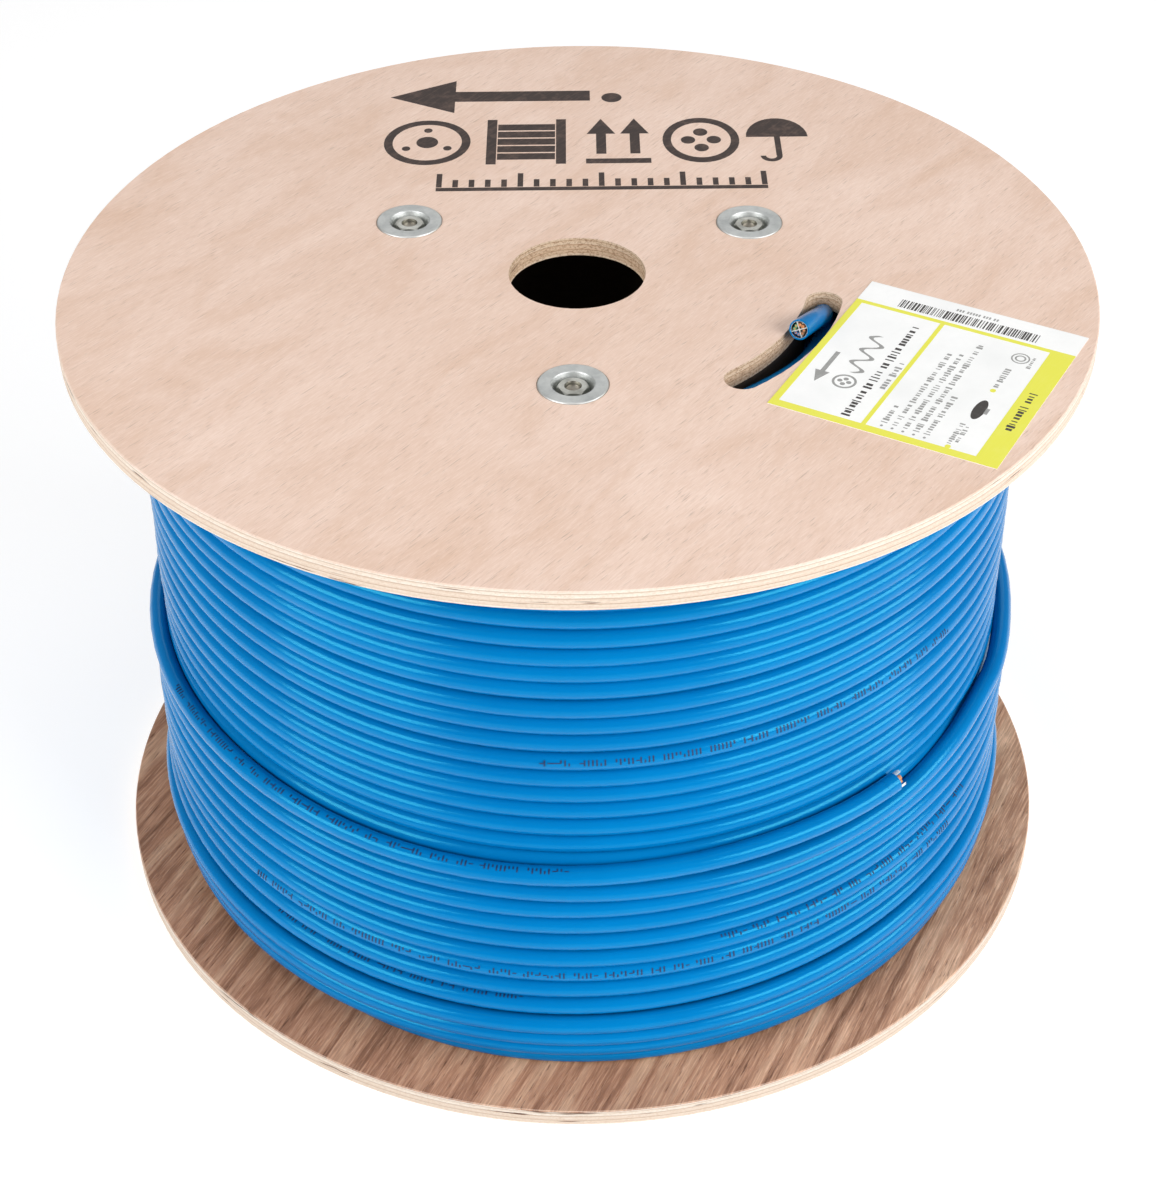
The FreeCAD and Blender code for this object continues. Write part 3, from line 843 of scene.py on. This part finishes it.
def on_face(x, y, height):
    """A point over the top flange."""
    return (x * MM, y * MM, (FACE_TOP + height) * MM)


def plate(shape, place, outline, thick=INK):
    """A thin closed plate with a flat outline."""
    low = [shape.verts.new(place(x, y, SUNK)) for x, y in outline]
    high = [shape.verts.new(place(x, y, thick)) for x, y in outline]
    shape.faces.new(high)
    shape.faces.new(list(reversed(low)))
    skin(shape, low, high)


def bar(shape, place, x0, x1, y0, y1, thick=INK):
    """A flat bar between two x and two y values."""
    plate(shape, place, [(x0, y0), (x1, y0), (x1, y1), (x0, y1)], thick)


def oval(x, y, wide, tall, turns):
    """Points of an oval at the given turns; wide and tall are its half sizes."""
    return [(x + wide * math.cos(turn), y + tall * math.sin(turn)) for turn in turns]


def disc(shape, place, x, y, wide, tall, thick=INK):
    """A flat oval disc; wide and tall are its half sizes."""
    parts = 32
    plate(shape, place, oval(x, y, wide, tall, [math.tau * k / parts for k in range(parts)]), thick)


def ring(shape, place, x, y, wide, tall, line, parts=40, start=0.0, stop=360.0):
    """A flat ring, or a piece of one, whose line takes the given share of its half size."""
    turns = [math.radians(start + (stop - start) * k / parts) for k in range(parts + 1)]
    outer = oval(x, y, wide, tall, turns)
    inner = oval(x, y, wide * (1 - line), tall * (1 - line), turns)
    for k in range(parts):
        plate(shape, place, [outer[k], outer[k + 1], inner[k + 1], inner[k]])


def label_wave(shape, across, start, stop, swing, half):
    """A wavy band, three waves long, lengthwise on the label."""
    parts = 56
    shares = [k / parts for k in range(parts + 1)]
    middle = [across + swing * math.sin(3 * math.tau * share) for share in shares]
    along = [start + (stop - start) * share for share in shares]
    for k in range(parts):
        outline = [(middle[k] - half, along[k]), (middle[k] + half, along[k])]
        outline += [(middle[k + 1] + half, along[k + 1]), (middle[k + 1] - half, along[k + 1])]
        plate(shape, on_label, outline)


def mark_line(shape, across, start, stop, tall, pitch, seed):
    """A line of plain blocks on the label, in groups of different lengths.

    Tall is in millimetres, and the other sizes are shares of the label's own.
    """
    chance = random.Random(seed)
    along = start
    while along < stop - pitch:
        for _ in range(chance.randint(2, 9)):
            if along >= stop - pitch:
                break
            half = tall * chance.choice((0.32, 0.36, 0.5)) / LABEL_SIZE[0]
            wide = pitch * chance.choice((0.3, 0.55, 0.7))
            bar(shape, on_label, across - half, across + half, along, along + wide, OVERPRINT)
            along += pitch
        along += pitch * 0.8


def label_lime(ink):
    """The borders, the line between the two panels, and two dots."""
    shape = bmesh.new()
    left, right, near, far, end = 0.032, 0.894, 0.04, 0.828, 0.85
    bar(shape, on_label, 0.0, left, 0.0, end)
    bar(shape, on_label, left, right, 0.0, near)
    bar(shape, on_label, right, 1.0, 0.0, end)
    bar(shape, on_label, left, right, far, end)
    bar(shape, on_label, 0.398, 0.418, near, far)
    disc(shape, on_label, 0.77, 0.05, 0.012, 0.012, OVERPRINT)
    disc(shape, on_label, 0.785, 0.475, 0.012, 0.012, OVERPRINT)
    mesh_object("label_lime_print", shape, ink, "label_stock")


def label_dark(ink):
    """A bar code of random bars, two lines of plain blocks and an oval."""
    shape = bmesh.new()
    along = 0.18
    while along < 0.82:
        wide = draw.choice((0.0032, 0.0032, 0.0064, 0.0096))
        bar(shape, on_label, along, along + wide, 0.868, 0.928)
        along += wide + draw.choice((0.0035, 0.0055, 0.0085))
    mark_line(shape, 0.318, 0.06, 0.775, 3.2, 0.021, 11)
    mark_line(shape, 0.943, 0.25, 0.57, 3.0, 0.021, 12)
    disc(shape, on_label, 0.787, 0.33, 0.026, 0.07)
    mesh_object("label_dark_print", shape, ink, "label_stock")


def label_grey(ink):
    """An arrow, a cable section, a wavy band, two rings and small lines of plain blocks."""
    shape = bmesh.new()
    tip = [(0.07, 0.30), (0.102, 0.22), (0.134, 0.30)]
    stem = [(0.112, 0.30), (0.112, 0.45), (0.092, 0.45), (0.092, 0.30)]
    plate(shape, on_label, tip + stem)
    section, middle = 0.215, 0.27
    ring(shape, on_label, section, middle, 0.052, 0.048, 0.2)
    for across, along in ((0.02, 0), (-0.02, 0), (0, 0.018), (0, -0.018)):
        disc(shape, on_label, section + across, middle + along, 0.011, 0.010)
    label_wave(shape, section, 0.34, 0.63, 0.035, 0.011)
    mark_line(shape, 0.375, 0.29, 0.52, 2.6, 0.02, 21)
    for k, stop in enumerate((0.185, 0.616, 0.622, 0.732, 0.359)):
        across = 0.478 + 0.0465 * k
        disc(shape, on_label, across, 0.062, 0.006, 0.006)
        mark_line(shape, across, 0.085, stop + 0.04, 2.3, 0.0165, 30 + k)
    mark_line(shape, 0.765, 0.07, 0.23, 1.9, 0.014, 41)
    mark_line(shape, 0.790, 0.09, 0.22, 1.7, 0.014, 42)
    mark_line(shape, 0.785, 0.50, 0.66, 2.2, 0.015, 43)
    ring(shape, on_label, 0.80, 0.735, 0.04, 0.037, 0.16)
    ring(shape, on_label, 0.80, 0.735, 0.024, 0.022, 0.3)
    mark_line(shape, 0.853, 0.68, 0.78, 1.5, 0.013, 44)
    bar(shape, on_label, 0.81, 0.826, 0.31, 0.35, OVERPRINT)
    along = 0.42
    while along < 0.61:
        bar(shape, on_label, along, along + 0.008, 0.945, 0.962)
        along += draw.choice((0.013, 0.013, 0.022))
    mesh_object("label_grey_print", shape, ink, "label_stock")


def reel_end(shape, x, y):
    """A reel seen from its end: the flange's rim, the arbor hole and three rods."""
    ring(shape, on_face, x, y, 17.5, 19, 0.2)
    disc(shape, on_face, x, y, 4.4, 4.8)
    for rod_x, rod_y in oval(x, y, 9.6, 10.2, [math.radians(90 + 120 * k) for k in range(3)]):
        disc(shape, on_face, rod_x, rod_y, 1.7, 1.9)


def reel_side(shape, x, y):
    """A reel seen from its side: two flanges and a full winding."""
    for side in (-1, 1):
        bar(shape, on_face, x + 14 * side - 2, x + 14 * side + 2, y - 19, y + 19)
    for k in range(5):
        low = y - 15.2 + 6.2 * k
        bar(shape, on_face, x - 11.6, x + 11.6, low, low + 5.2)


def way_up(shape, x, y):
    """Two arrows over a line."""
    for side in (-1, 1):
        middle = x + 6.8 * side
        head = [(middle + 5.8, y + 6), (middle, y + 19), (middle - 5.8, y + 6)]
        stem = [(middle - 2, y + 6), (middle - 2, y - 11), (middle + 2, y - 11), (middle + 2, y + 6)]
        plate(shape, on_face, head + stem)
    bar(shape, on_face, x - 13, x + 13, y - 19, y - 15)


def cable_section(shape, x, y):
    """A cable cut across: its jacket and four pairs."""
    ring(shape, on_face, x, y, 15.5, 19, 0.22)
    for dx, dy in ((-5.2, 0), (5.2, 0), (0, 6.6), (0, -6.6)):
        disc(shape, on_face, x + dx, y + dy, 2.9, 3.2)


def umbrella(shape, x, y):
    """A canopy and its stick, for keep dry."""
    plate(shape, on_face, oval(x, y + 2, 12.5, 16, [math.radians(12 * k) for k in range(16)]))
    bar(shape, on_face, x - 1.2, x + 1.2, y - 14, y + 2)
    ring(shape, on_face, x - 3.2, y - 14, 4.4, 4.8, 0.5, parts=16, start=180, stop=360)


def face_print(ink):
    """Stencilled pictograms on the top flange: a turning arrow, a row of signs and a scale."""
    shape = bmesh.new()
    far_side = [(-77, 143), (-50, 157.5), (-50, 147.5), (6, 147.5)]
    near_side = [(6, 138.5), (-50, 138.5), (-50, 128.5)]
    plate(shape, on_face, far_side + near_side)
    disc(shape, on_face, 15, 141, 4.2, 4.2)
    signs = ((reel_end, -60), (reel_side, -20), (way_up, 17), (cable_section, 50.5), (umbrella, 81.3))
    for sign, x in signs:
        sign(shape, x, 103)
    bar(shape, on_face, -55, 75, 62.5, 65.2)
    for k in range(21):
        tall = 76.5 if k % 5 == 0 else 71.5
        left = -55 + 6.39 * k
        bar(shape, on_face, left, left + 2.2, 65.6, tall)
    mesh_object("face_print", shape, ink, "flange_plywood")


# ---------------------------------------------------------------- build


def make_looks(jacket):
    """The looks of the CAD model's slots, and two more for its nuts and rods."""
    return {
        "core_board": board("core_board_look"),
        "zinc_steel": metal("zinc_steel_look", tone(222, 224, 222), tone(194, 197, 196), 0.43),
        "nut_steel": metal("nut_steel_look", tone(212, 212, 205), tone(156, 156, 148), 0.26),
        "rod_steel": metal("rod_steel_look", tone(168, 162, 152), tone(120, 112, 100), 0.36),
        "label_stock": plastic("label_stock_look", tone(248, 248, 247), tone(238, 239, 238), 0.35),
        "foil_shield": metal("foil_shield_look", tone(226, 230, 235), tone(190, 196, 204), 0.2),
        "filler_plastic": plastic("filler_plastic_look", tone(236, 238, 236), tone(214, 217, 214), 0.4),
        "tinned_copper": metal("tinned_copper_look", tone(216, 214, 208), tone(170, 168, 160), 0.3),
        "bare_copper": metal("bare_copper_look", tone(232, 160, 112), tone(190, 112, 70), 0.22),
        "pair_orange": plastic("pair_orange_look", tone(224, 160, 108), tone(198, 128, 76), 0.4),
        "pair_green": plastic("pair_green_look", tone(124, 176, 128), tone(88, 146, 98), 0.4),
        "pair_blue": plastic("pair_blue_look", tone(108, 140, 186), tone(78, 110, 160), 0.4),
        "pair_brown": plastic("pair_brown_look", tone(160, 126, 98), tone(126, 92, 66), 0.4),
        "cable_jacket": jacket,
    }


def dress_nodes(looks):
    """Gives every CAD node the look of its slot; rods, nuts and the two flanges have their own."""
    top_wood = plywood("top_plywood_look", TOP_FLANGE * MM, 1)
    low_wood = plywood("bottom_plywood_look", 0.0, -1)
    for name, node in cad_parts.items():
        for place in node.material_slots:
            kind = place.material.name.split(".")[0]
            if name.startswith("tie_rod"):
                kind = "rod_steel"
            elif "_nut_" in name:
                kind = "nut_steel"
            if kind == "flange_plywood":
                place.material = top_wood if name == "top_flange" else low_wood
            else:
                place.material = looks[kind]


def torn_end(cut, looks):
    """What sticks out of the torn outer end: two rags of foil and two wires."""
    inside = BORE - 0.2
    shape = bmesh.new()
    sleeve(shape, cut, inside, BORE, 88, 142, back=-1.0, front=3.3, ragged=0.5, parts=14)
    sleeve(shape, cut, inside, BORE, -34, 6, back=-1.0, front=3.0, ragged=0.5, parts=8)
    foil = mesh_object("outer_end_torn_foil", shape, looks["filler_plastic"], "foil_shield")
    shape = bmesh.new()
    wire(shape, cut, 1.6, 66, 1.0, 2.3)
    wire(shape, cut, 1.7, 24, 0.9, 1.8)
    wires = mesh_object("outer_end_torn_wire", shape, looks["pair_orange"], "pair_orange")
    return foil, wires


add_camera()
add_studio()
jacket = jacket_material()
looks = make_looks(jacket)
dress_nodes(looks)

last_points = last_layer_points()
last = cable_object("cable_last_layer", shortened(last_points), jacket)
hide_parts("cable_outer_layers", "cable_outer_tail")
full_points = full_layer_points()
full = cable_object("cable_full_layer", full_points, jacket)
inner_points = inner_end_points()
inner = cable_object("cable_inner_end_run", shortened(inner_points), jacket)
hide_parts("cable_inner_end", "cable_inner_layers")
winding_bulk(jacket)
outer_sleeve = jacket_sleeve("outer_end_jacket", last_points, jacket)
inner_sleeve = jacket_sleeve("inner_end_jacket", inner_points, jacket)
torn_foil, torn_wire = torn_end(Cut(last_points), looks)

jacket_print(last, full)
label_lime(ink_material("lime_ink", tone(228, 226, 80), tone(234, 232, 122), 0.3, 160.0))
label_dark(ink_material("dark_ink", tone(60, 56, 54), tone(96, 92, 90), 0.4, 500.0))
label_grey(ink_material("grey_ink", tone(150, 150, 148), tone(186, 186, 184), 0.5, 500.0))
face_print(ink_material("stencil_ink", tone(54, 42, 38), tone(112, 90, 80), 0.7, 220.0))

ground = bmesh.new()
bmesh.ops.create_grid(ground, x_segments=24, y_segments=24, size=30)
ground_piece = mesh_object("studio_floor", ground, floor_material(), None)

bpy.context.view_layer.update()
